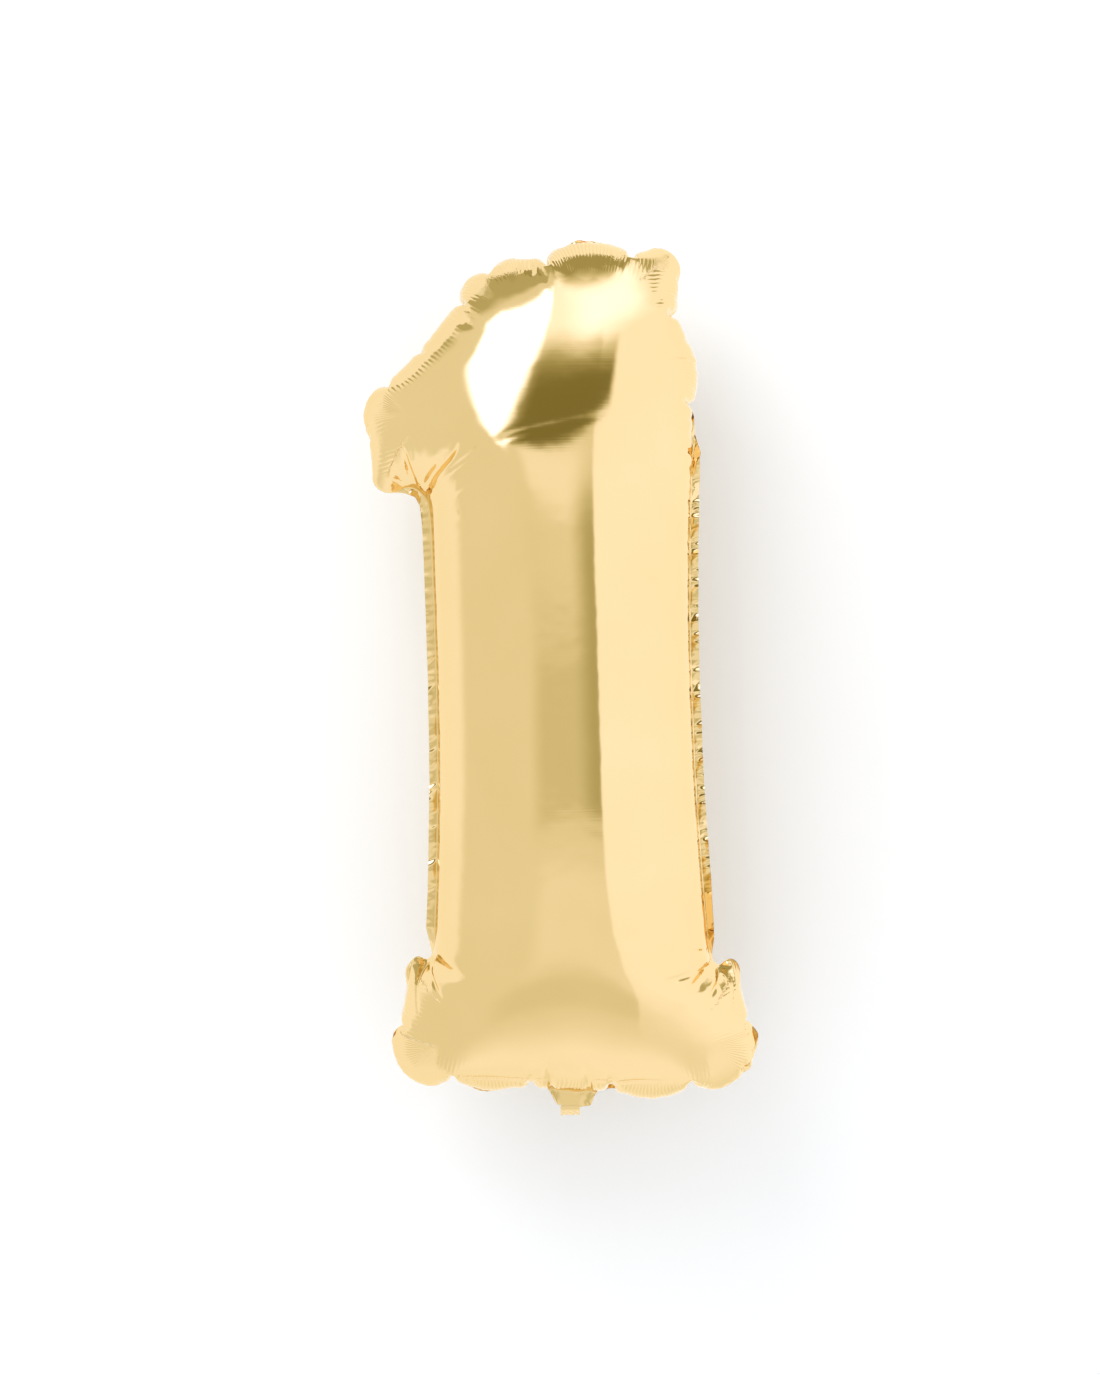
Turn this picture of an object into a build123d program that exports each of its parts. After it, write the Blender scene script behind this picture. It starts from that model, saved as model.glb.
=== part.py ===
"""Foil number balloon, digit one, inflated and self-sealed.

Millimetres. +Z runs up the digit, -Y is its front, +X is to its right.
The origin is the end of the neck, where the tail folds and a ribbon is tied.
"""
import os
from math import cos, hypot, radians, sin

from build123d import *

# Film thicknesses, drawn thicker than the real film so that each piece is a sound solid
SKIN = 0.6
TAIL_FOIL = 0.4
VALVE_FILM = 0.2
FILM_GAP = 0.05

# Stem of the digit: a fully blown tube between two sealed flanges
STEM_X = 5
STEM_RADIUS = 130
STEM_DEPTH = 125
SEAM_FLANGE = 9
FLANGE_HALF = STEM_RADIUS + SEAM_FLANGE
STEM_START = 176

# Foot of the digit, a wider pillow below the stem
FOOT_LEFT = -182
FOOT_RIGHT = 191
FOOT_TOP = 150
FOOT_TILT = -5

# Head of the digit, with the flag that slopes down to the left
FLAG_TIP_X = -196
FLAG_BOTTOM = 617
FLAG_TIP_TOP = 694
HEAD_TOP = 861
HEAD_TILT = 5

# Neck and tail at the middle of the foot
NECK_HALF = 18.5
NECK_WING = 22
NECK_END = 0.5
NECK_END_HALF = 12
TAIL_WIDTH = 19
TAIL_LENGTH = 40
TAIL_ROOT = 3.5
TAIL_BEND = 75
VALVE_WIDTH = 16
VALVE_REACH = 108
MOUTH_SETBACK = 2
CORNER_RADIUS = 2

# Closed section of the digit at each height: (height, middle, half width, half depth, tilt)
DIGIT_SECTIONS = (
    (20, 4, 142, 3, FOOT_TILT),
    (27, 5, 157, 24, FOOT_TILT),
    (40, 5, 168, 48, FOOT_TILT),
    (66, 5, 176, 78, FOOT_TILT / 2),
    (100, 5, 178, 99, 0),
    (135, 5, 172, 113, 0),
    (160, 5, 150, 120, 0),
    (190, STEM_X, STEM_RADIUS + 1, 123, 0),
    (240, STEM_X, STEM_RADIUS, STEM_DEPTH - 1, 0),
    (420, STEM_X, STEM_RADIUS, STEM_DEPTH, 0),
    (600, STEM_X, STEM_RADIUS, STEM_DEPTH - 1, 0),
    (680, 6, 131, 120, 0),
    (740, 8, 127, 107, HEAD_TILT / 2),
    (790, 12, 117, 86, HEAD_TILT),
    (825, 16, 103, 55, HEAD_TILT),
    (841, 18, 93, 28, HEAD_TILT),
    (848, 19, 84, 3, HEAD_TILT),
)

# Closed section of the flag at each distance: (x, middle height, half height, half depth)
FLAG_SECTIONS = (
    (20, 738, 94, 96),
    (-40, 722, 98, 98),
    (-100, 708, 91, 86),
    (-150, 682, 64, 60),
    (-178, 668, 42, 30),
    (FLAG_TIP_X + 8, 664, 34, 4),
)

# Closed section of the neck on its way down: (height, half width, half depth)
NECK_SECTIONS = (
    (34, NECK_HALF, 34),
    (14, NECK_HALF, 12),
    (NECK_END, NECK_END_HALF, 1.4),
)

# Outer edge of the sealed flange, corner by corner: (x, z, corner radius)
FLANGE_CORNERS = (
    (FOOT_LEFT + 2, 32, 18),
    (-40, 14, 60),
    (-NECK_WING, 12, 3),
    (-NECK_WING, 3, 2),
    (-NECK_END_HALF, NECK_END, 1),
    (NECK_END_HALF, NECK_END, 1),
    (NECK_WING, 3, 2),
    (NECK_WING, 10, 3),
    (128, 4, 60),
    (FOOT_RIGHT - 4, 6, 42),
    (FOOT_RIGHT, 108, 34),
    (FOOT_RIGHT - 17, FOOT_TOP - 6, 20),
    (STEM_X + FLANGE_HALF, 164, 12),
    (STEM_X + FLANGE_HALF, 650, 60),
    (STEM_X + FLANGE_HALF + 1, 700, 60),
    (128, 820, 60),
    (114, HEAD_TOP - 4, 20),
    (38, HEAD_TOP, 80),
    (-72, 842, 40),
    (-186, 716, 30),
    (FLAG_TIP_X, FLAG_TIP_TOP, 20),
    (FLAG_TIP_X, FLAG_BOTTOM + 8, 14),
    (-182, FLAG_BOTTOM - 2, 14),
    (STEM_X - FLANGE_HALF, FLAG_BOTTOM - 8, 22),
    (STEM_X - FLANGE_HALF, STEM_START, 12),
    (FOOT_LEFT + 10, FOOT_TOP, 20),
    (FOOT_LEFT, 104, 40),
)


def digit_stations():
    """Planes across the digit, from the foot up, each with its half width and depth."""
    for height, middle, half_width, half_depth, tilt in DIGIT_SECTIONS:
        lean = radians(tilt)
        plane = Plane((middle, 0, height), x_dir=(cos(lean), 0, sin(lean)), z_dir=(-sin(lean), 0, cos(lean)))
        yield plane, half_width, half_depth


def flag_stations():
    """Planes across the flag, from inside the head out to its tip."""
    for place, middle, half_height, half_depth in FLAG_SECTIONS:
        yield Plane((place, 0, middle), x_dir=(0, 0, 1), z_dir=(-1, 0, 0)), half_height, half_depth


def neck_stations():
    """Planes across the neck, from inside the foot down to its end."""
    for height, half_width, half_depth in NECK_SECTIONS:
        yield Plane((0, 0, height), x_dir=(1, 0, 0), z_dir=(0, 0, -1)), half_width, half_depth


def moved_in(stations, wall):
    """The same stations on the inside of a wall, measured square to the wall."""
    last = len(stations) - 1
    for index, (plane, half_width, half_depth) in enumerate(stations):
        before, after = stations[max(index - 1, 0)], stations[min(index + 1, last)]
        run = (after[0].origin - before[0].origin).length
        spread, slope = (after[1] - before[1]) / run, (after[2] - before[2]) / run
        rise = wall * slope / hypot(1, slope)
        path = (after[0].origin - before[0].origin).normalized()
        inside = Plane(plane.origin + path * rise, x_dir=plane.x_dir, z_dir=plane.z_dir)
        inner_width = half_width + spread * rise - wall * hypot(1, spread)
        yield inside, inner_width, half_depth + slope * rise - wall * hypot(1, slope)


def blown_tube(stations, overrun=0):
    """A closed tube of elliptical sections, its last section moved on by overrun."""
    last = len(stations) - 1
    with BuildPart() as tube:
        for index, (plane, half_width, half_depth) in enumerate(stations):
            with BuildSketch(plane.offset(overrun if index == last else 0)):
                Ellipse(half_width, half_depth)
        loft()
    return tube.part


def flange_outline():
    """The outer edge of the sealed flange, as a face in the seam plane."""
    with BuildSketch(Plane.XZ) as outline:
        with BuildLine():
            corners = [(x, z) for x, z, _ in FLANGE_CORNERS]
            FilletPolyline(corners, radius=[radius for _, _, radius in FLANGE_CORNERS], close=True)
        make_face()
    return outline.sketch


def front_foil_panel():
    """The front foil panel: half of the blown wall with its own sheet of the flange."""
    digit, flag, neck = list(digit_stations()), list(flag_stations()), list(neck_stations())
    walls = [blown_tube(stations) for stations in (digit, flag, neck)]
    hollows = [blown_tube(list(moved_in(stations, SKIN))) for stations in (digit, flag)]
    hollows.append(blown_tube(list(moved_in(neck, SKIN)), overrun=SKIN + NECK_END))
    outline = flange_outline()
    front = Box(3 * FLANGE_HALF, 2 * STEM_DEPTH, 3 * HEAD_TOP, align=(Align.CENTER, Align.MAX, Align.CENTER))
    with BuildPart() as panel:
        add(walls)
        extrude(outline, amount=SKIN, both=True)
        add(front, mode=Mode.INTERSECT)
        add(hollows, mode=Mode.SUBTRACT)
    return panel.part


def film_strip(plane, width, near, far, inner, outer):
    """A flat strip with rounded corners, between two heights and two distances from a plane."""
    with BuildPart() as strip:
        with BuildSketch(plane.offset(min(inner, outer))):
            with Locations((0, (near + far) / 2)):
                RectangleRounded(width, abs(far - near), CORNER_RADIUS)
        extrude(amount=abs(outer - inner))
    return strip.part


def tail_plane():
    """The middle plane of the bent tail: it hangs from the origin along its own -Y."""
    bend = radians(TAIL_BEND)
    return Plane((0, 0, 0), x_dir=(1, 0, 0), z_dir=(0, -cos(bend), -sin(bend)))


def save(piece, name):
    """Label a finished piece and write it."""
    piece.label = name
    export_step(piece, f"parts/{name}.step")


def main():
    os.makedirs("parts", exist_ok=True)
    film_face, foil_face = FILM_GAP + VALVE_FILM, 2 * FILM_GAP + VALVE_FILM
    tail = tail_plane()
    mouth_end, tail_end = MOUTH_SETBACK - TAIL_LENGTH, -TAIL_LENGTH
    front_panel = front_foil_panel()
    save(front_panel, "front_panel")
    save(mirror(front_panel, about=Plane.XZ), "back_panel")
    for name, side in (("front", 1), ("back", -1)):
        film = (side * FILM_GAP, side * film_face)
        foil = (side * foil_face, side * (foil_face + TAIL_FOIL))
        save(film_strip(Plane.XZ, VALVE_WIDTH, NECK_END, VALVE_REACH, *film), f"valve_film_{name}")
        save(film_strip(tail, VALVE_WIDTH, -TAIL_ROOT, mouth_end, *film), f"valve_mouth_{name}")
        save(film_strip(tail, TAIL_WIDTH, -TAIL_ROOT, tail_end, *foil), f"tail_{name}")


main()
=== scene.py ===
from math import acos, atan2, cos, hypot, pi, radians, sin, tan

import bpy
import numpy as np
from mathutils import Matrix, Vector
from mathutils.bvhtree import BVHTree
from mathutils.geometry import delaunay_2d_cdt
from mathutils.kdtree import KDTree


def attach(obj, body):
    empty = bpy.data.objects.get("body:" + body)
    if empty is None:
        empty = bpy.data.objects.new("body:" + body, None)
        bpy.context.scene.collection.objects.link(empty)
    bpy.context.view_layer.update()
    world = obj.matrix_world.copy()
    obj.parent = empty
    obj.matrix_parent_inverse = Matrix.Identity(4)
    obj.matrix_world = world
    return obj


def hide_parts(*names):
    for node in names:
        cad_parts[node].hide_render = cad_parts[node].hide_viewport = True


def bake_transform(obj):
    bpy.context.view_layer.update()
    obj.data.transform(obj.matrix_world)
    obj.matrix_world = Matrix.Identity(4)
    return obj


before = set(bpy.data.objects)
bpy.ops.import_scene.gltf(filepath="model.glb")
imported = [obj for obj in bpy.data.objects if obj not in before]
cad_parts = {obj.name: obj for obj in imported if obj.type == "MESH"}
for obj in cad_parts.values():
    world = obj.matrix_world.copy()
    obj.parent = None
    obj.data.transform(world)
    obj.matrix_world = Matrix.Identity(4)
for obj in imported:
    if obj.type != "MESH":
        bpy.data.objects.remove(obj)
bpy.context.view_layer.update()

MM = 0.001
FOIL_SLOT, FILM_SLOT = "mirror_foil", "valve_film"

# The flat cut of one foil panel, inside its seal, in millimetres: (x, z, corner radius)
FLAT_CUT = (
    (-207, 6, 85), (-98, -27, 200), (0, -37, 200), (92, -41, 200), (214, -6, 95), (218, 128, 45),
    (202, 132, 16), (202, 640, 200), (198, 742, 200), (154, 874, 52), (48, 908, 200), (-54, 889, 100),
    (-100, 868, 90), (-226, 736, 80), (-234, 636, 40), (-195, 621, 38), (-195, 146, 16), (-208, 142, 45),
)
# Where the edge gathers into deep creases: (x, z) beside the seam
CREASES = (
    (-113, 855), (-60, 886), (1, 899), (94, 891), (164, 842), (190, 760), (198, 716), (201, 655),
    (-186, 776), (-213, 747), (-226, 716), (-231, 677), (-208, 86), (-206, 49), (-193, 18), (-154, -10),
    (-101, -25), (-22, -35), (18, -38), (82, -39), (154, -23), (189, -3), (215, 44), (217, 81),
)
CREASE_DEPTH, CREASE_REACH = 10.0, 13.0
# Folds pressed into the blown foil, in millimetres: from (x, z) to (x, z), depth and half width
FOLDS = (
    ((-62, 652), (50, 673), 0.3, 6.0), ((-62, 652), (-138, 622), 0.4, 3.5),
    ((-64, 640), (-108, 622), 0.5, 2.6), ((-60, 628), (-106, 611), 0.5, 2.6),
    ((-57, 615), (-104, 600), 0.5, 2.6), ((-55, 602), (-106, 587), 0.4, 2.6),
    ((-53, 588), (-100, 575), 0.4, 2.6), ((192, 750), (86, 734), 1.7, 2.4),
    ((98, 726), (150, 730), 0.5, 2.6), ((194, 650), (102, 647), 1.7, 2.4),
    ((95, 880), (70, 806), 0.8, 3.0), ((84, 878), (66, 830), 0.6, 2.6),
    ((0, 886), (6, 798), 0.9, 3.0), ((-12, 884), (-10, 822), 0.6, 2.6),
    ((-112, 846), (-66, 772), 0.9, 3.0), ((-124, 834), (-92, 786), 0.6, 2.6),
    ((198, 136), (84, 131), 1.8, 2.6), ((202, 126), (128, 94), 1.8, 2.6),
    ((196, 150), (112, 156), 1.2, 2.4), ((206, 118), (168, 70), 1.4, 2.4),
    ((-190, 150), (-124, 104), 1.7, 2.6), ((-194, 142), (-160, 88), 1.4, 2.4),
    ((-196, 632), (-192, 682), 0.4, 2.8), ((-190, 632), (-168, 668), 0.4, 2.8),
    ((-180, 626), (-140, 640), 0.3, 2.6), ((-22, -26), (-22, 54), 1.9, 2.3),
    ((15, -28), (15, 53), 1.9, 2.3), ((-24, 22), (-148, 28), 1.6, 2.3),
    ((18, 22), (104, 21), 1.6, 2.3),
)
# How far a fold wavers to its sides and over what length, and the shares of it that fade in and out
FOLD_WAVER, FOLD_WAVER_RUN, FOLD_START, FOLD_END = 0.7, 9, 0.12, 0.55
# Rows of mesh points along the folds: their number, spacing, and distance from the seam and each other
FOLD_ROWS, FOLD_STEP, FOLD_CLEAR, POINTS_APART = 5, 3.0, 14, 2.4
# Where the seal shows past the foil, though it lies back: (x, z) beside the seam
PEEKS = (
    (-208, 128), (216, 118), (-72, 884), (45, 907), (201, 690), (-205, 60), (214, 40),
    (-134, -16), (-104, -25), (-50, -32), (41, -39), (134, -29), (198, 7),
)
PEEK_REACH, PEEK_SHARE = 16, 0.75
# The heat seal: its width, its rows of mesh, the gap between its two layers, and its lie on the back
SEAL_WIDTH, SEAL_ROWS, SEAL_GAP, SEAL_LIFT = 9, 3, 0.12, 0.5
# Where the seal stands out beside the stem: its place in x, and its lowest and highest z
LEFT_SEAL_X, LEFT_SEAL_REACH, LEFT_SEAL_Z = -195, 22, (160, 632)
RIGHT_SEAL_X, RIGHT_SEAL_Z = 190, (145, 668)
CRINKLE_WAVES = (7, 9, 13, 17, 29)
CRINKLE_LEFT, CRINKLE_RIGHT = 0.5, 2.2
# The neck is a flap of the seal: its middle, half width, sloping edge and drop below the seal
NECK_X, NECK_HALF, NECK_EDGE, NECK_DROP = -2, 20, 6, 7
# The valve's passage through the neck: its middle and half width. The neck is waved beside it
PASSAGE_X, PASSAGE_HALF = -6, 10
NECK_WAVE, NECK_WAVE_RISE = 0.55, 5
# The part of the neck that ends lowest, and how far above the tail's hinge it ends
NECK_MIDDLE, NECK_END = 12, 0.5
# The stem's middle, and the heights between which it is straight
STEM_X, STEM_LOW, STEM_HIGH = 5.0, 220, 560

# Each pass of the inflation: spacing at the seam and inside, steps, sweeps, push, give in compression
PASSES = (
    (9.0, 16.0, 260, 6, 0.06, 0.05),
    (4.5, 9.0, 90, 8, 0.05, 0.3),
    (2.6, 6.0, 50, 12, 0.04, 0.8),
)
DAMPING = 0.94
STIFF_BEND = 0.2
ROUGH_START = 0.06
FILM_LIFT = 0.3
UNEVEN_GRID = 0.12
# Each band of mesh points is so many spacings deep, and the next band is so much wider spaced
BAND_DEPTH, BAND_GROWTH = 5, 1.5
ROW_PITCH = 0.866

# Fine gathers of the foil beside the seam, and the lines of its rolling, in metres
GATHER_PITCH, GATHER_HEIGHT, LINE_HEIGHT = 0.0044, 0.0003, 0.00001
# In millimetres: how far from a crease the foil is gathered most, and how deep the gathers run
GATHER_REACH = 26
GATHER_START, GATHER_FULL, GATHER_FADE, GATHER_END = 14, 26, 48, 78
GATHER_EVERYWHERE = 0.45
# The head, the foot and the flag lie beyond these heights and this place in the flat cut
HEAD_Z, FOOT_Z, FLAG_X = 700, 120, -215

# The tail and its valve, in millimetres; the tail's sheets lie outside the valve's
TAIL_WIDTH, TAIL_LENGTH, TAIL_ROOT = 19.0, 40.0, 3.0
TAIL_BEND, BEND_START, BEND_RUN = radians(75), -1, 5
VALVE_WIDTH, VALVE_REACH, MOUTH_SETBACK = 16.0, 108.0, 2.0
TAIL_OFFSET, VALVE_OFFSET = 0.35, 0.03
CRUMPLE_HEIGHT, CRUMPLE_START, CRUMPLE_RUN = 0.55, 1, 8
STRIP_COLUMNS, STRIP_STEP, TAIL_STEPS = 25, 0.8, 81

# Colours: the foil from cloud to cloud and at a glancing angle, the valve's film, and white paper
GOLDS, GLANCING_GOLD = ((0.90, 0.675, 0.33, 1), (0.93, 0.705, 0.36, 1)), (0.98, 0.90, 0.70, 1)
CLEAR_GREYS = (0.84, 0.85, 0.84, 1), (0.90, 0.91, 0.90, 1)
WHITE_PAPER = (0.91, 0.92, 0.932, 1)

# The stage, in metres
WALL_Y, WALL_LEFT, WALL_RIGHT, WALL_LOW, WALL_HIGH = 0.16, -6, 6, -3, 6
FLOOR_Z, FLOOR_LEFT, FLOOR_RIGHT, FLOOR_FRONT, FLOOR_BACK = -0.42, -8, 8, -8, 8
KEY_PLACE, KEY_AIM, KEY_SIZE, KEY_POWER = (-0.95, -1.50, 1.90), (0, 0, 0.55), (1.4, 1.3), 16
# Light that reaches the balloon's matt surroundings evenly
EVEN_LIGHT = 1.08
# Dim light in the studio is warmer than bright light: powers for red, green and blue
WARMTH = (0.93, 1.0, 1.7)
# The camera looks straight at the balloon, which leans a little to the left in the view; its sensor
# is in millimetres
CAMERA_DISTANCE, VIEW_HEIGHT, VIEW_CENTRE, LEAN = 2.6, 1.3725, (-0.0092, 0.4207), radians(1.5)
SENSOR = 36

# Round the whole turn, or from the lowest rise to the highest
ANYWHERE = (-400, -400, 400, 400)
# What the foil mirrors, by direction from the balloon in degrees: turn is 0 in front and + to the
# right, rise is above level. Each line: value, then turn and rise as start, full, full, end
BACKGROUND = 0.86
SURROUNDINGS = (
    (0.93, (-32, -16, 400, 400), (-34, -28, -12, -9)),
    (0.79, (-50, -30, 26, 44), (-44, -36, -31, -24)),
    (1.08, ANYWHERE, (-400, -400, -74, -38)),
    (1.06, (-400, -400, -112, -98), ANYWHERE),
    (1.15, (29, 31, 400, 400), (-60, -8, 400, 400)),
    (1.03, (-26, -16, 12, 30), (7, 12, 17, 21)),
    (0.84, (-38, -22, 29, 31), (-8.2, -5.6, 5, 11)),
    (0.68, (-36, -18, 29, 31), (-8.2, -5.6, -1, 4)),
    (0.46, (6, 28, 29, 31), (-8.2, -5.6, 7, 17)),
    (1.30, (-14, -6, 30, 36), (36, 46, 58, 74)),
    (1.60, (-2, 24, 48, 92), (30, 44, 54, 78)),
    (0.50, (88, 100, 128, 150), (38, 46, 400, 400)),
    (0.38, ANYWHERE, (66, 88, 400, 400)),
    (0.38, (100, 115, 400, 400), (62, 66, 400, 400)),
    (0.38, (-400, -400, -125, -112), (62, 66, 400, 400)),
)
# Patches with straight edges: value, then corners (turn, rise, softness of the edge that starts there)
PATCHES = (
    (0.50, (-113, 36, 14), (-96, 46, 16), (-56, 62, 10), (-56, 95, 1), (-135, 95, 1), (-135, 56, 3)),
    (0.20, (-30, 17, 4), (40, 22, 5), (41, 30, 10), (10, 38, 16), (-12, 40, 16)),
    (2.00, (-60, 40, 5), (-33, 13, 6), (-9, 43, 3), (-9, 60, 3), (-58, 58, 6)),
)


# ---------------------------------------------------------------- flat cut

def rounded(corners, step):
    """The closed outline with tangent arcs at its corners, in even steps."""
    line = []
    for index, (x, z, radius) in enumerate(corners):
        corner = np.array((x, z), float)
        before = np.array(corners[index - 1][:2], float) - corner
        after = np.array(corners[(index + 1) % len(corners)][:2], float) - corner
        run_in, run_out = np.linalg.norm(before), np.linalg.norm(after)
        u, v = before / run_in, after / run_out
        opening = acos(np.clip(u @ v, -1, 1))
        cut = min(radius / tan(opening / 2), 0.49 * run_in, 0.49 * run_out)
        radius = cut * tan(opening / 2)
        middle = corner + (u + v) / np.linalg.norm(u + v) * radius / sin(opening / 2)
        first, last = corner + u * cut - middle, corner + v * cut - middle
        start = atan2(first[1], first[0])
        turn = (atan2(last[1], last[0]) - start + pi) % (2 * pi) - pi
        count = max(2, int(abs(turn) * radius))
        angles = start + turn * np.arange(count + 1) / count
        line.append(middle + radius * np.stack([np.cos(angles), np.sin(angles)], 1))
    line = np.vstack(line + [line[0][:1]])
    length = np.concatenate([[0], np.cumsum(np.linalg.norm(np.diff(line, axis=0), axis=1))])
    at = np.arange(round(length[-1] / step)) * length[-1] / round(length[-1] / step)
    return np.stack([np.interp(at, length, line[:, k]) for k in range(2)], 1)


def outward(line):
    """Unit normals of a counter-clockwise outline."""
    along = np.roll(line, -1, 0) - np.roll(line, 1, 0)
    along /= np.linalg.norm(along, axis=1)[:, None]
    return np.stack([along[:, 1], -along[:, 0]], 1)


def is_inside(points, line):
    """Which points lie inside a closed outline, by counting crossings to their right."""
    order = np.argsort(points[:, 1])
    x, z = points[order].T
    crossings = np.zeros(len(points), int)
    for (x0, z0), (x1, z1) in zip(np.roll(line, 1, 0), line):
        low, high = np.searchsorted(z, (min(z0, z1), max(z0, z1)))
        if high > low:
            reached = (x1 - x0) * (z[low:high] - z0) / (z1 - z0) + x0
            crossings[low:high] += x[low:high] < reached
    found = np.zeros(len(points), bool)
    found[order] = crossings % 2 == 1
    return found


def nearest(points, line):
    """For each point, the place along the outline that is nearest, and how far that is."""
    tree = KDTree(len(line))
    for index, (x, z) in enumerate(line):
        tree.insert((x, z, 0), index)
    tree.balance()
    found = [tree.find((x, z, 0)) for x, z in points]
    return np.array([f[1] for f in found]), np.array([f[2] for f in found])


def spaced_points(seam, at_seam, inside):
    """Points inside the seam, close together beside it and wider apart further in."""
    random = np.random.default_rng(1)
    dense = rounded(FLAT_CUT, 1.0)
    low, size = seam.min(0), np.ptp(seam, axis=0)
    spacing, start, bands = at_seam, 0.6 * at_seam, []
    while True:
        end = start + BAND_DEPTH * spacing if spacing < 0.99 * inside else np.inf
        columns, rows = int(size[0] / spacing) + 2, int(size[1] / spacing / ROW_PITCH) + 2
        i, j = np.meshgrid(np.arange(columns), np.arange(rows))
        grid = low + spacing * np.stack([(i + 0.5 * (j % 2)).ravel(), (ROW_PITCH * j).ravel()], 1)
        grid += random.uniform(-UNEVEN_GRID, UNEVEN_GRID, grid.shape) * spacing
        grid = grid[is_inside(grid, seam)]
        away = nearest(grid, dense)[1]
        bands.append(grid[(away >= start) & (away < end)])
        if end == np.inf:
            break
        start, spacing = end, min(inside, BAND_GROWTH * spacing)
    if at_seam < FOLD_STEP:
        return thinned(np.vstack([beside_folds(), *bands]), POINTS_APART)
    return np.vstack(bands)


def beside_folds():
    """Close rows of points along each fold."""
    rows = []
    for (x0, z0), (x1, z1), _, _ in FOLDS:
        long = hypot(x1 - x0, z1 - z0)
        run = np.array((x1 - x0, z1 - z0)) / long
        row = np.arange(FOLD_ROWS)
        i, j = np.meshgrid(np.arange(0, long, FOLD_STEP), (row - FOLD_ROWS // 2) * ROW_PITCH * FOLD_STEP)
        i = i + FOLD_STEP / 2 * (row[:, None] % 2)
        aside = np.array((run[1], -run[0]))
        rows.append(np.array((x0, z0)) + i.reshape(-1, 1) * run + j.reshape(-1, 1) * aside)
    rows, line = np.vstack(rows), rounded(FLAT_CUT, 1.0)
    return rows[is_inside(rows, line) & (nearest(rows, line)[1] > FOLD_CLEAR)]


def thinned(points, apart_by):
    """Without the points that are too close to an earlier one."""
    cells, kept = {}, []
    around = [(a, b) for a in (-1, 0, 1) for b in (-1, 0, 1)]
    for index, (x, z) in enumerate(points.tolist()):
        i, j = int(x // apart_by), int(z // apart_by)
        near = (points[k] for a, b in around for k in cells.get((i + a, j + b), ()))
        if all(hypot(x - u, z - v) >= apart_by for u, v in near):
            cells.setdefault((i, j), []).append(index)
            kept.append(index)
    return points[kept]


def seal_widths(seam):
    """The seal is one width all round, but for the neck, a flap at the bottom."""
    off = np.clip((NECK_HALF + NECK_EDGE / 2 - np.abs(seam[:, 0] - NECK_X)) / NECK_EDGE, 0, 1)
    return SEAL_WIDTH + NECK_DROP * off * (seam[:, 1] < 0)


class FlatPanel:
    """One panel of foil as a flat mesh: its skin inside the seam, and the seal outside it."""

    def __init__(self, at_seam, inside):
        seam = rounded(FLAT_CUT, at_seam)
        points = np.vstack([seam, spaced_points(seam, at_seam, inside)])
        self.rim, self.inner = len(seam), len(points)
        loop = [(i, (i + 1) % self.rim) for i in range(self.rim)]
        made = delaunay_2d_cdt([Vector(p) for p in points], loop, [], 1, 1e-7)
        points, skin = np.array([tuple(v) for v in made[0]]), np.array(made[2])
        skin = skin[is_inside(points[skin].mean(1), seam)]
        a, b = points[skin[:, 1]] - points[skin[:, 0]], points[skin[:, 2]] - points[skin[:, 0]]
        over = a[:, 0] * b[:, 1] < a[:, 1] * b[:, 0]
        skin[over] = skin[over][:, ::-1]
        out = outward(seam) * seal_widths(seam)[:, None] / SEAL_ROWS
        rings = [seam + out * (row + 1) for row in range(SEAL_ROWS)]
        self.flat, self.skin = np.vstack([points, *rings]), skin
        here, seal = np.arange(self.rim), []
        for row in range(SEAL_ROWS):
            there = self.inner + row * self.rim + np.arange(self.rim)
            seal += [np.stack([here, there, np.roll(there, -1)], 1),
                     np.stack([here, np.roll(there, -1), np.roll(here, -1)], 1)]
            here = there
        self.seal = np.vstack(seal)
        # the back panel shares the seam and the seal, and has a skin of its own
        self.back = np.arange(len(self.flat))
        self.back[self.rim:self.inner] = len(self.flat) + np.arange(self.inner - self.rim)
        self.both = np.vstack([self.flat, self.flat[self.rim:self.inner]])
        self.blown = np.vstack([skin, self.back[skin][:, ::-1]])
        self.faces = np.vstack([self.blown, self.seal])


# ---------------------------------------------------------------- inflation

def edges_of(faces, count):
    """The edges of a mesh, and the two points opposite each edge that has two faces."""
    pairs = np.sort(np.vstack([faces[:, [0, 1]], faces[:, [1, 2]], faces[:, [2, 0]]]), 1)
    _, first, which = np.unique(pairs[:, 0].astype(np.int64) * count + pairs[:, 1],
                                return_index=True, return_inverse=True)
    opposite = np.concatenate([faces[:, 2], faces[:, 0], faces[:, 1]])
    order = np.argsort(which, kind="stable")
    start = np.searchsorted(which[order], np.arange(len(first)))
    two = np.diff(np.append(start, len(order))) == 2
    across = np.stack([opposite[order[start[two]]], opposite[order[start[two] + 1]]], 1)
    return pairs[first], across, two


def apart(pairs, count, seed):
    """The pairs in groups, where no point is twice in a group."""
    random = np.random.default_rng(seed)
    left, groups = np.arange(len(pairs)), []
    while len(left):
        used, candidates, chosen = np.zeros(count, bool), left, []
        for _ in range(6):
            ends = pairs[candidates]
            candidates = candidates[~(used[ends[:, 0]] | used[ends[:, 1]])]
            if not len(candidates):
                break
            rank, ends = random.permutation(len(candidates)), pairs[candidates]
            best = np.full(count, len(candidates))
            np.minimum.at(best, ends.ravel(), np.repeat(rank, 2))
            pick = (best[ends[:, 0]] == rank) & (best[ends[:, 1]] == rank)
            chosen.append(candidates[pick])
            used[pairs[candidates[pick]].ravel()] = True
            candidates = candidates[~pick]
        groups.append(np.concatenate(chosen))
        taken = np.zeros(len(pairs), bool)
        taken[groups[-1]] = True
        left = left[~taken[left]]
    return groups


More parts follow.
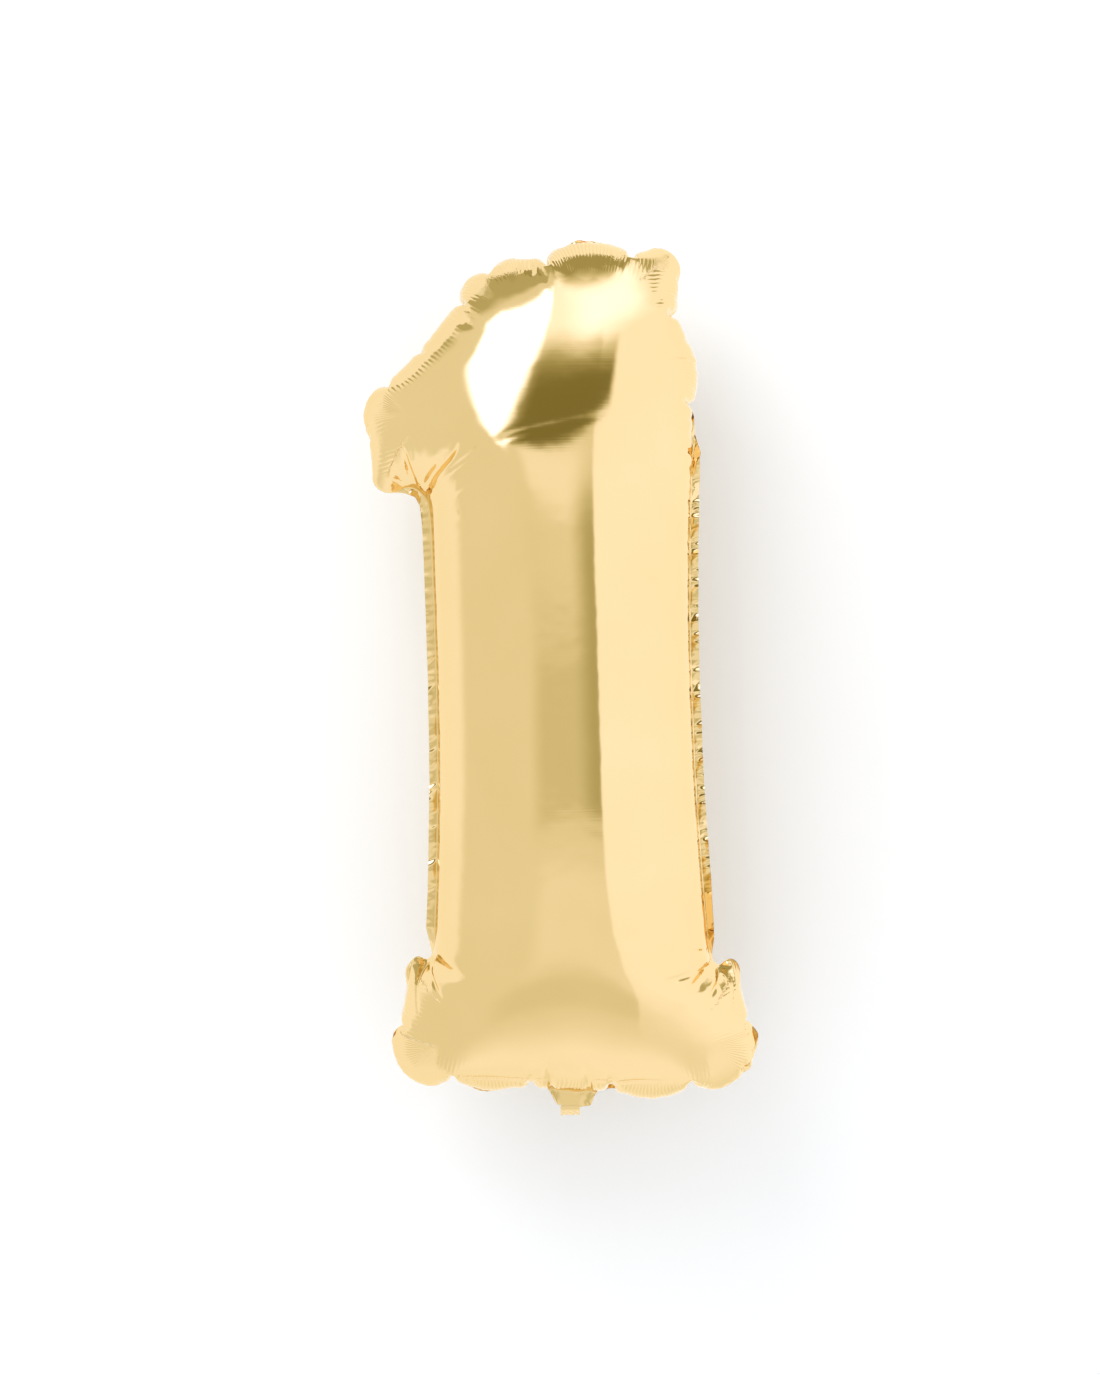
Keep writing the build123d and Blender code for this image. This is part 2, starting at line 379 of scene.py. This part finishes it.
def pull(place, i, j, rest, squeeze, spread=1.0):
    """Bring each pair of points to its rest length, more weakly where it is too short or too long."""
    gap = place[j] - place[i]
    length = np.sqrt(np.einsum("ij,ij->i", gap, gap)) + 1e-12
    share = 0.5 * (length - rest) / length
    gap *= np.where(share < 0, share * squeeze, share * spread)[:, None]
    place[i] += gap
    place[j] -= gap


def blow_up(place, panel, steps, sweeps, push, squeeze):
    """Push the film out by gas while its edges keep the lengths that they have in the flat cut."""
    flat, faces, blown, count = panel.both, panel.faces, panel.blown, len(panel.both)
    edges, across, _ = edges_of(faces, count)
    rest = np.linalg.norm(flat[edges[:, 0]] - flat[edges[:, 1]], axis=1)
    groups = [(*edges[g].T, rest[g]) for g in apart(edges, count, 1)]
    flat_gap = np.linalg.norm(flat[across[:, 0]] - flat[across[:, 1]], axis=1)
    across, flat_gap = across[flat_gap > 1e-4], flat_gap[flat_gap > 1e-4]
    bends = [(*across[g].T, flat_gap[g]) for g in apart(across, count, 2)]
    a, b = flat[faces[:, 1]] - flat[faces[:, 0]], flat[faces[:, 2]] - flat[faces[:, 0]]
    area = np.abs(a[:, 0] * b[:, 1] - a[:, 1] * b[:, 0]).sum() / 2 / count
    moving = np.zeros_like(place)
    for _ in range(steps):
        p = place[blown]
        third = np.cross(p[:, 1] - p[:, 0], p[:, 2] - p[:, 0]) / 6
        gas = np.stack([np.bincount(blown.ravel(), np.repeat(third[:, k], 3), count) for k in range(3)], 1)
        moved = place + DAMPING * moving + push * gas / area
        for _ in range(sweeps):
            for i, j, length in groups:
                pull(moved, i, j, length, squeeze)
        for i, j, length in bends:
            pull(moved, i, j, length, STIFF_BEND, 0)
        moving, place = moved - place, moved
    return place


def crossed(u, v):
    """Twice the area between pairs of vectors."""
    return u[:, 0] * v[:, 1] - u[:, 1] * v[:, 0]


def in_triangles(flat, triangles, points):
    """The triangle of the flat cut that holds each point, and the share of each of its corners."""
    tree = BVHTree.FromPolygons([(x, z, 0) for x, z in flat], triangles.tolist())
    hit = triangles[[tree.find_nearest((x, z, 0))[2] for x, z in points]]
    a, b, c = (flat[hit[:, k]] for k in range(3))
    u, v, w = a - points, b - points, c - points
    shares = np.stack([crossed(v, w), crossed(w, u), crossed(u, v)], 1) / crossed(b - a, c - a)[:, None]
    shares = np.clip(shares, 0, 1)
    return hit, (shares / shares.sum(1)[:, None])[:, :, None]


def carried(coarse, place, fine):
    """The points of a finer mesh, at the same places of the film as in a coarser one."""
    hit, shares = in_triangles(coarse.flat, np.vstack([coarse.skin, coarse.seal]), fine.flat)
    moved = np.zeros((len(fine.both), 3))
    moved[:len(fine.flat)] = (place[hit] * shares).sum(1)
    moved[len(fine.flat):] = (place[coarse.back[hit]] * shares).sum(1)[fine.rim:fine.inner]
    return moved


def first_lift(panel):
    """The flat film with its two sides opened a little."""
    away = nearest(panel.flat, rounded(FLAT_CUT, 4.0))[1]
    away[:panel.rim], away[panel.inner:] = 0, 0
    place = np.zeros((len(panel.both), 3))
    place[:, [0, 2]] = panel.both
    place[:len(away), 1] = -FILM_LIFT * away
    place[len(away):, 1] = FILM_LIFT * away[panel.rim:panel.inner]
    seam, out = panel.flat[:panel.rim], outward(panel.flat[:panel.rim])
    for crease in CREASES:
        reach = np.linalg.norm(panel.flat - crease, axis=1)
        inward = out[np.argmin(np.linalg.norm(seam - crease, axis=1))] * CREASE_DEPTH
        place[:len(away), ::2] -= np.exp(-(reach / CREASE_REACH) ** 2)[:, None] * inward
    return place


def blown_film():
    """The inflated film, as its finest flat mesh and the place of each of its points."""
    panel, place = None, None
    for number, (at_seam, inside, steps, sweeps, push, squeeze) in enumerate(PASSES):
        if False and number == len(PASSES) - 1:
            break
        finer = FlatPanel(at_seam, inside)
        if panel is None:
            place = first_lift(finer)
        else:
            place = carried(panel, place, finer)
            place += np.random.default_rng(5).normal(0, ROUGH_START, place.shape)
        panel = finer
        place = blow_up(place, panel, steps, sweeps, push, squeeze)
    return panel, place


def stood_up(panel, place):
    """Stand the blown film in the part's frame: stem upright, end of the neck just above the origin."""
    stem = place[:panel.rim]
    stem = stem[(stem[:, 2] > STEM_LOW) & (stem[:, 2] < STEM_HIGH)]
    sides = stem[stem[:, 0] < STEM_X], stem[stem[:, 0] > STEM_X]
    lean = atan2(sum(np.polyfit(side[:, 2], side[:, 0], 1)[0] for side in sides) / 2, 1)
    c, s = cos(lean), sin(lean)
    x, z = place[:, 0] * c - place[:, 2] * s, place[:, 0] * s + place[:, 2] * c
    stood = np.stack([x, place[:, 1], z], 1)
    stood[:, 0] += STEM_X - sum(np.median(side[:, 0] * c - side[:, 2] * s) for side in sides) / 2
    depth = stood[(stood[:, 2] > STEM_LOW) & (stood[:, 2] < STEM_HIGH)][:, 1]
    stood[:, 1] -= (depth.min() + depth.max()) / 2
    seam = panel.flat[:panel.rim]
    neck = stood[:panel.rim][(np.abs(seam[:, 0] - NECK_X) < NECK_MIDDLE) & (seam[:, 1] < 0)]
    stood[:, 2] -= neck[:, 2].min() - SEAL_WIDTH - NECK_DROP - NECK_END
    return stood


# ---------------------------------------------------------------- meshes

def finer_mesh(points, faces):
    """One round of Loop subdivision; an open edge stays a smooth curve of its own."""
    count = len(points)
    edges, across, two = edges_of(faces, count)
    middle = (points[edges[:, 0]] + points[edges[:, 1]]) / 2
    middle[two] = middle[two] * 0.75 + (points[across[:, 0]] + points[across[:, 1]]) / 8
    ends, other = edges.ravel(), edges[:, ::-1].ravel()
    degree = np.bincount(ends, minlength=count)
    total = np.stack([np.bincount(ends, values, count) for values in points[other].T], 1)
    weight = np.where(degree == 3, 3 / 16, 3 / (8 * np.maximum(degree, 1)))
    moved = points * (1 - degree * weight)[:, None] + total * weight[:, None]
    rim = edges[~two]
    ends, other = rim.ravel(), rim[:, ::-1].ravel()
    on_rim = np.bincount(ends, minlength=count) > 0
    total = np.stack([np.bincount(ends, values, count) for values in points[other].T], 1)
    moved[on_rim] = 0.75 * points[on_rim] + total[on_rim] / 8
    lookup = {}
    for index, (i, j) in enumerate(edges.tolist()):
        lookup[i, j] = lookup[j, i] = count + index
    halves = np.array([[lookup[a, b], lookup[b, c], lookup[c, a]] for a, b, c in faces.tolist()])
    finer = np.vstack([
        np.stack([faces[:, 0], halves[:, 0], halves[:, 2]], 1),
        np.stack([faces[:, 1], halves[:, 1], halves[:, 0]], 1),
        np.stack([faces[:, 2], halves[:, 2], halves[:, 1]], 1),
        halves])
    return np.vstack([moved, middle]), finer


def compact(points, faces):
    """Only the points that the faces use."""
    used, faces = np.unique(faces, return_inverse=True)
    return points[used], faces.reshape(-1, 3)


def new_piece(name, points, faces, material):
    """A mesh object from points in millimetres, shaded smooth, in its material."""
    mesh = bpy.data.meshes.new(name)
    mesh.from_pydata((points * MM).tolist(), [], faces.tolist())
    mesh.polygons.foreach_set("use_smooth", [True] * len(mesh.polygons))
    mesh.update()
    mesh.materials.append(material)
    piece = bpy.data.objects.new(name, mesh)
    bpy.context.scene.collection.objects.link(piece)
    return piece


def welded(points, faces, close=0.001):
    """Join points that lie in the same place."""
    keys = np.round(points / close).astype(np.int64)
    _, first, which = np.unique(keys, axis=0, return_index=True, return_inverse=True)
    return points[first], which.reshape(-1)[faces]


def along_loop(values, reach):
    """Values along a closed line, smoothed over a number of points each way."""
    total = sum(np.roll(values, k, 0) for k in range(-reach, reach + 1))
    return total / (2 * reach + 1)


def waves(length, wavelengths, seed):
    """A steady mix of waves along a closed line, from -1 to 1."""
    random = np.random.default_rng(seed)
    whole = length[-1]
    parts = [np.sin(2 * pi * (round(whole / w) * length / whole + random.random())) for w in wavelengths]
    return sum(parts) / len(parts)


def point_normals(points, faces):
    """Unit normals at the points."""
    p = points[faces]
    normal = np.cross(p[:, 1] - p[:, 0], p[:, 2] - p[:, 0])
    corners = faces.ravel()
    total = [np.bincount(corners, np.repeat(values, 3), len(points)) for values in normal.T]
    total = np.stack(total, 1)
    return total / (np.linalg.norm(total, axis=1)[:, None] + 1e-12)


def on_back(panel, place, flat):
    """The places on the back skin of points given in the flat cut, and its outward normals there."""
    hit, shares = in_triangles(panel.flat, panel.skin, flat)
    normals = -point_normals(place, panel.back[panel.skin])
    return (place[panel.back[hit]] * shares).sum(1), (normals[panel.back[hit]] * shares).sum(1)


def folded_seal(panel, place):
    """The seal stands out crinkled beside the stem, and lies back on the foil where it is drawn in."""
    flat, seam = panel.flat[:panel.rim], place[:panel.rim]
    x, z = flat.T
    left = (np.abs(x - LEFT_SEAL_X) < LEFT_SEAL_REACH) & (z > LEFT_SEAL_Z[0]) & (z < LEFT_SEAL_Z[1])
    right = (x > RIGHT_SEAL_X) & (z > RIGHT_SEAL_Z[0]) & (z < RIGHT_SEAL_Z[1])
    beside = left | right
    neck = (np.abs(x - NECK_X) < NECK_HALF + 5) & (z < 0)
    length = np.cumsum(np.linalg.norm(np.roll(seam, -1, 0) - seam, axis=1))
    flap = along_loop(1.0 * (np.abs(x - NECK_X) < NECK_HALF + 2) * (z < 0), 1)[:, None]
    strength = along_loop(beside * np.where(x > 0, CRINKLE_RIGHT, CRINKLE_LEFT), 8)
    crinkle = waves(length, CRINKLE_WAVES, 3) * strength
    peek = sum(np.exp(-(np.linalg.norm(flat - spot, axis=1) / PEEK_REACH) ** 2) for spot in PEEKS)
    lying = (along_loop(1.0 - (beside | neck), 6) * (1 - PEEK_SHARE * np.clip(peek, 0, 1)))[:, None]
    place = place.copy()
    place[:panel.rim, 1] *= 1 - flap[:, 0]
    for row in range(SEAL_ROWS):
        share = (row + 1) / SEAL_ROWS
        ring = slice(panel.inner + row * panel.rim, panel.inner + (row + 1) * panel.rim)
        laid, normal = on_back(panel, place, flat - outward(flat) * SEAL_WIDTH * share)
        laid += SEAL_LIFT * normal
        place[ring, 1] += crinkle * share
        place[ring] += (laid - place[ring]) * lying
        hung = seam - (0, 0, 1) * (seal_widths(flat) * share)[:, None]
        waved = np.clip((np.abs(x - PASSAGE_X) - PASSAGE_HALF) / NECK_WAVE_RISE, 0, 1)
        hung[:, 1] = share * np.sin(NECK_WAVE * x + 4 * share) * waved
        place[ring] += (hung - place[ring]) * flap
    return place


def along_fold(points, fold):
    """For each point of the flat cut, its way along a fold from 0 to 1, and how far off the fold it is."""
    (x0, z0), (x1, z1) = fold[:2]
    long = hypot(x1 - x0, z1 - z0)
    run = np.array((x1 - x0, z1 - z0)) / long
    way, off = (points - (x0, z0)) @ run, (points - (x0, z0)) @ (run[1], -run[0])
    return way / long, off - FOLD_WAVER * np.sin(way / FOLD_WAVER_RUN + x0)


def pressed_in(flat):
    """How far the folds press the blown foil in, by place in the flat cut."""
    pressed = np.zeros(len(flat))
    for fold in FOLDS:
        depth, width = fold[2:]
        way, off = along_fold(flat, fold)
        fade = np.clip(way / FOLD_START, 0, 1) * np.clip((1 - way) / FOLD_END, 0, 1)
        pressed = np.maximum(pressed, depth * fade * np.exp(-(off / width) ** 2))
    return pressed


def mark_gathers(piece, flat):
    """Give each point its way along and in from the seam, and how much the foil is gathered there."""
    line = rounded(FLAT_CUT, 0.5)
    index, away = nearest(flat, line)
    inside = is_inside(flat, line)
    close = sum(np.exp(-(np.linalg.norm(line - crease, axis=1) / GATHER_REACH) ** 2) for crease in CREASES)
    head, foot, flag = line[:, 1] > HEAD_Z, line[:, 1] < FOOT_Z, line[:, 0] < FLAG_X
    curved = along_loop(1.0 * (head | foot | flag), 40)
    rising = np.clip((away - GATHER_START) / (GATHER_FULL - GATHER_START), 0, 1)
    falling = np.clip((GATHER_END - away) / (GATHER_END - GATHER_FADE), 0, 1)
    gather = np.clip(GATHER_EVERYWHERE + close, 0, 1)[index] * curved[index] * rising * falling * inside
    lay = piece.data.uv_layers.new(name="seam")
    corners = np.array([loop.vertex_index for loop in piece.data.loops])
    lay.data.foreach_set("uv", (np.stack([index * 0.5, away], 1)[corners] * MM).ravel())
    piece.data.attributes.new("gather", "FLOAT", "POINT").data.foreach_set("value", gather)


def foil_panel(name, panel, place, side, material):
    """One foil panel: its blown skin and its own layer of the seal. side is -1 in front, 1 behind."""
    skin = panel.skin if side < 0 else panel.back[panel.skin][:, ::-1]
    seal = panel.seal if side < 0 else panel.seal[:, ::-1]
    place, (x, z) = place.copy(), panel.flat[:panel.rim].T
    place[:panel.rim, 1] += side * SEAL_GAP * (np.abs(x - PASSAGE_X) < PASSAGE_HALF) * (z < 0)
    blown, faces = finer_mesh(*compact(np.hstack([place, panel.both]), skin))
    layer = place.copy()
    layer[panel.inner:len(panel.flat)] += SEAL_GAP * point_normals(place, seal)[panel.inner:len(panel.flat)]
    sealed, seal_faces = finer_mesh(*compact(np.hstack([layer, panel.both]), seal))
    points, faces = welded(np.vstack([blown, sealed]), np.vstack([faces, seal_faces + len(blown)]))
    points[:, :3] -= pressed_in(points[:, 3:])[:, None] * point_normals(points[:, :3], faces)
    piece = new_piece(name, points[:, :3], faces, material)
    mark_gathers(piece, points[:, 3:])
    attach(piece, "balloon")
    return piece


def tail_path(along):
    """The middle of the tail's sheets: down out of the neck, then bent back, and its own normal."""
    runs = along[:, None] * np.linspace(0, 1, TAIL_STEPS)
    share = np.clip((runs - BEND_START) / BEND_RUN, 0, 1)
    bend = TAIL_BEND * share ** 2 * (3 - 2 * share)
    y = np.trapz(np.sin(bend), runs, axis=1)
    z = -np.trapz(np.cos(bend), runs, axis=1)
    return np.stack([0 * y, y, z], 1), np.stack([0 * y, -np.cos(bend[:, -1]), -np.sin(bend[:, -1])], 1)


def crumple(across, along):
    """How far the crumpled tail stands off its middle plane."""
    folds = np.sin(0.62 * across + 0.35 * along) + 0.7 * np.sin(0.41 * across - 0.55 * along + 1.0)
    return CRUMPLE_HEIGHT * folds * np.clip((along - CRUMPLE_START) / CRUMPLE_RUN, 0, 1)


def strip(name, width, start, end, offset, material):
    """A narrow sheet of film that follows the tail, at its own place in the stack."""
    u = np.linspace(-width / 2, width / 2, STRIP_COLUMNS)
    v = np.linspace(start, end, int((end - start) / STRIP_STEP))
    across, along = np.meshgrid(u, v)
    middle, normal = tail_path(along.ravel())
    lift = crumple(across.ravel(), along.ravel()) + offset
    points = middle + normal * lift[:, None]
    points[:, 0] = across.ravel()
    i = (np.arange(len(v) - 1)[:, None] * len(u) + np.arange(len(u) - 1)).ravel()
    faces = np.stack([i, i + 1, i + len(u) + 1, i + len(u)], 1)
    return new_piece(name, points, faces, material)


# ---------------------------------------------------------------- materials

def nodes_for(name):
    """A new node material with a Principled shader."""
    material = bpy.data.materials.new(name)
    material.use_nodes = True
    tree = material.node_tree
    return material, tree, tree.nodes["Principled BSDF"]


def mapped_noise(tree, scale, stretch, detail=3.0):
    """Noise through the object, with its own scale along each axis."""
    place = tree.nodes.new("ShaderNodeTexCoord")
    mapping = tree.nodes.new("ShaderNodeMapping")
    mapping.inputs["Scale"].default_value = stretch
    noise = tree.nodes.new("ShaderNodeTexNoise")
    noise.inputs["Scale"].default_value = scale
    noise.inputs["Detail"].default_value = detail
    tree.links.new(place.outputs["Object"], mapping.inputs["Vector"])
    tree.links.new(mapping.outputs["Vector"], noise.inputs["Vector"])
    return noise.outputs["Fac"]


def ramp(tree, value, low, high, first, last):
    """A colour ramp between two colours."""
    node = tree.nodes.new("ShaderNodeValToRGB")
    node.color_ramp.elements[0].position, node.color_ramp.elements[1].position = low, high
    node.color_ramp.elements[0].color, node.color_ramp.elements[1].color = first, last
    tree.links.new(value, node.inputs["Fac"])
    return node.outputs["Color"]


def ranged(tree, value, low, high):
    """A value brought from 0..1 to low..high."""
    node = tree.nodes.new("ShaderNodeMapRange")
    node.inputs["To Min"].default_value, node.inputs["To Max"].default_value = low, high
    tree.links.new(value, node.inputs["Value"])
    return node.outputs["Result"]


def bumped(tree, shader, height, strength, distance):
    """Bump on a shader."""
    bump = tree.nodes.new("ShaderNodeBump")
    bump.inputs["Strength"].default_value, bump.inputs["Distance"].default_value = strength, distance
    tree.links.new(height, bump.inputs["Height"])
    tree.links.new(bump.outputs["Normal"], shader.inputs["Normal"])


def mirror_foil():
    """Metallised film: a pale gold mirror, with faint rolled lines and fine gathers beside the seam."""
    material, tree, shader = nodes_for(FOIL_SLOT)
    shader.inputs["Metallic"].default_value = 1.0
    shader.inputs["Specular Tint"].default_value = GLANCING_GOLD
    cloud = mapped_noise(tree, 9, (1, 1, 1))
    tree.links.new(ramp(tree, cloud, 0.3, 0.7, *GOLDS), shader.inputs["Base Color"])
    lines = mapped_noise(tree, 1.0, (3, 3, 900), 2.0)
    tree.links.new(ranged(tree, lines, 0.05, 0.11), shader.inputs["Roughness"])
    place = tree.nodes.new("ShaderNodeUVMap")
    place.uv_map = "seam"
    gathers = tree.nodes.new("ShaderNodeTexWave")
    gathers.bands_direction = "X"
    gathers.inputs["Scale"].default_value = 2 * pi / 20 / GATHER_PITCH
    gathers.inputs["Distortion"].default_value = 1.6
    gathers.inputs["Detail"].default_value = 1.0
    tree.links.new(place.outputs["UV"], gathers.inputs["Vector"])
    amount = tree.nodes.new("ShaderNodeAttribute")
    amount.attribute_name = "gather"
    sums = Sums(tree)
    gathered = sums.do("MULTIPLY", gathers.outputs["Fac"], amount.outputs["Fac"])
    gathered = sums.do("MULTIPLY", gathered, GATHER_HEIGHT)
    height = sums.do("ADD", gathered, sums.do("MULTIPLY", lines, LINE_HEIGHT))
    bumped(tree, shader, height, 1.0, 1.0)
    return material


def valve_film():
    """Clear glossy film."""
    material, tree, shader = nodes_for(FILM_SLOT)
    cloud = mapped_noise(tree, 60, (1, 1, 1))
    tree.links.new(ramp(tree, cloud, 0.3, 0.7, *CLEAR_GREYS), shader.inputs["Base Color"])
    tree.links.new(ranged(tree, cloud, 0.12, 0.25), shader.inputs["Roughness"])
    shader.inputs["Alpha"].default_value = 0.5
    bumped(tree, shader, cloud, 0.2, 0.0003)
    return material


# ---------------------------------------------------------------- stage

def rectangle(left, right, low, high):
    """The corners of a rectangle, counter-clockwise."""
    return (left, low), (right, low), (right, high), (left, high)


def stage_plane(name, corners, material):
    """A flat piece of the stage."""
    mesh = bpy.data.meshes.new(name)
    mesh.from_pydata(corners, [], [(0, 1, 2, 3)])
    mesh.materials.append(material)
    plane = bpy.data.objects.new(name, mesh)
    bpy.context.scene.collection.objects.link(plane)
    return plane


def paper(name, one_sided):
    """Matt white paper; the wall is clear from behind, so that the back can be seen."""
    material, tree, shader = nodes_for(name)
    shader.inputs["Base Color"].default_value = WHITE_PAPER
    shader.inputs["Roughness"].default_value = 0.9
    shader.inputs["Specular IOR Level"].default_value = 0.0
    if one_sided:
        geometry = tree.nodes.new("ShaderNodeNewGeometry")
        clear = tree.nodes.new("ShaderNodeBsdfTransparent")
        mix = tree.nodes.new("ShaderNodeMixShader")
        tree.links.new(geometry.outputs["Backfacing"], mix.inputs["Fac"])
        tree.links.new(shader.outputs["BSDF"], mix.inputs[1])
        tree.links.new(clear.outputs["BSDF"], mix.inputs[2])
        tree.links.new(mix.outputs["Shader"], tree.nodes["Material Output"].inputs["Surface"])
    return material


class Sums:
    """Small arithmetic in a node tree."""

    def __init__(self, tree):
        self.tree = tree

    def do(self, operation, *values):
        node = self.tree.nodes.new("ShaderNodeMath")
        node.operation = operation
        for socket, value in zip(node.inputs, values):
            if isinstance(value, (int, float)):
                socket.default_value = value
            else:
                self.tree.links.new(value, socket)
        return node.outputs["Value"]

    def rise(self, value, low, high):
        """0 below low, 1 above high, smooth between."""
        node = self.tree.nodes.new("ShaderNodeMapRange")
        node.interpolation_type = "SMOOTHSTEP"
        node.inputs["From Min"].default_value, node.inputs["From Max"].default_value = low, high
        self.tree.links.new(value, node.inputs["Value"])
        return node.outputs["Result"]

    def between(self, value, start, full, fade, end):
        """1 from full to fade, falling to 0 at start and end."""
        up = self.rise(value, start, full) if start > -180 else 1.0
        down = self.rise(value, fade, end) if end < 180 else 0.0
        return self.do("SUBTRACT", up, down)

    def inside(self, x, y, corners):
        """1 inside a convex patch, its corners counter-clockwise, with an edge of its own softness each."""
        share = 1.0
        for (x0, y0, soft), (x1, y1, _) in zip(corners, corners[1:] + corners[:1]):
            long = hypot(x1 - x0, y1 - y0)
            across, up = (y0 - y1) / long, (x1 - x0) / long
            depth = self.do("MULTIPLY_ADD", y, up, -(x0 * across + y0 * up))
            depth = self.do("MULTIPLY_ADD", x, across, depth)
            share = self.do("MULTIPLY", share, self.rise(depth, -soft / 2, soft / 2))
        return share

    def mix(self, first, second, share):
        """first where share is 0, second where it is 1."""
        change = self.do("SUBTRACT", second, first)
        return self.do("MULTIPLY_ADD", change, share, first)


def surroundings():
    """A pale studio, mirrored by the foil, and even white light for everything else."""
    world = bpy.data.worlds.new("studio")
    world.use_nodes = True
    bpy.context.scene.world = world
    tree = world.node_tree
    sums = Sums(tree)
    place = tree.nodes.new("ShaderNodeTexCoord")
    split = tree.nodes.new("ShaderNodeSeparateXYZ")
    tree.links.new(place.outputs["Generated"], split.inputs["Vector"])
    x, y, z = (split.outputs[k] for k in "XYZ")
    turn = sums.do("DEGREES", sums.do("ARCTAN2", x, sums.do("MULTIPLY", y, -1.0)))
    rise = sums.do("DEGREES", sums.do("ARCSINE", z))
    shade = BACKGROUND
    for value, turns, rises in SURROUNDINGS:
        share = sums.do("MULTIPLY", sums.between(turn, *turns), sums.between(rise, *rises))
        shade = sums.mix(shade, value, share)
    for value, *corners in PATCHES:
        shade = sums.mix(shade, value, sums.inside(turn, rise, corners))
    colour = tree.nodes.new("ShaderNodeCombineColor")
    for socket, power in zip(colour.inputs, WARMTH):
        tree.links.new(sums.do("POWER", shade, power), socket)
    light = tree.nodes["Background"]
    tree.links.new(colour.outputs["Color"], light.inputs["Color"])
    seen = tree.nodes.new("ShaderNodeBackground")
    seen.inputs["Strength"].default_value = EVEN_LIGHT
    seen.inputs["Color"].default_value = (1, 1, 1, 1)
    path = tree.nodes.new("ShaderNodeLightPath")
    pick = tree.nodes.new("ShaderNodeMixShader")
    tree.links.new(path.outputs["Is Glossy Ray"], pick.inputs["Fac"])
    tree.links.new(seen.outputs["Background"], pick.inputs[1])
    tree.links.new(light.outputs["Background"], pick.inputs[2])
    tree.links.new(pick.outputs["Shader"], tree.nodes["World Output"].inputs["Surface"])


def area_light(name, place, aim, size, energy):
    """A rectangular softbox."""
    light = bpy.data.lights.new(name, "AREA")
    light.shape, light.size, light.size_y, light.energy = "RECTANGLE", *size, energy
    lamp = bpy.data.objects.new(name, light)
    bpy.context.scene.collection.objects.link(lamp)
    lamp.location = place
    lamp.rotation_euler = (Vector(aim) - Vector(place)).to_track_quat("-Z", "Y").to_euler()
    return lamp


def set_camera():
    """The camera, level with the balloon's middle and tilted by its lean."""
    data = bpy.data.cameras.new("camera")
    camera = bpy.data.objects.new("camera", data)
    bpy.context.scene.collection.objects.link(camera)
    bpy.context.scene.camera = camera
    data.sensor_width = SENSOR
    data.lens = SENSOR * CAMERA_DISTANCE / VIEW_HEIGHT
    upright = Matrix.Rotation(LEAN, 4, "Y") @ Matrix.Rotation(pi / 2, 4, "X")
    camera.matrix_world = Matrix.Translation((VIEW_CENTRE[0], -CAMERA_DISTANCE, VIEW_CENTRE[1])) @ upright


# ---------------------------------------------------------------- the balloon

foil, film = mirror_foil(), valve_film()
panel, place = blown_film()
place = folded_seal(panel, stood_up(panel, place))
for name, side in (("front", -1), ("back", 1)):
    blown = foil_panel(f"{name}_foil", panel, place, side, foil)
    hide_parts(f"{name}_panel")
    tail = strip(f"tail_{name}_foil", TAIL_WIDTH, -TAIL_ROOT, TAIL_LENGTH, -side * TAIL_OFFSET,
                 foil)
    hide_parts(f"tail_{name}")
    valve = strip(f"valve_{name}_film", VALVE_WIDTH, -VALVE_REACH, TAIL_LENGTH - MOUTH_SETBACK,
                  -side * VALVE_OFFSET, film)
    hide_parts(f"valve_film_{name}", f"valve_mouth_{name}")
    for piece in (tail, valve):
        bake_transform(piece)

wall_corners = rectangle(WALL_LEFT, WALL_RIGHT, WALL_LOW, WALL_HIGH)
wall = stage_plane("wall", [(x, WALL_Y, z) for x, z in wall_corners], paper("wall_paper", True))
floor_corners = rectangle(FLOOR_LEFT, FLOOR_RIGHT, FLOOR_FRONT, FLOOR_BACK)
floor = stage_plane("floor", [(x, y, FLOOR_Z) for x, y in floor_corners], paper("floor_paper", False))
key = area_light("key", KEY_PLACE, KEY_AIM, KEY_SIZE, KEY_POWER)
for part in (wall, floor, key):
    part.visible_glossy = False
surroundings()
bpy.context.scene.view_settings.view_transform = "Standard"
set_camera()
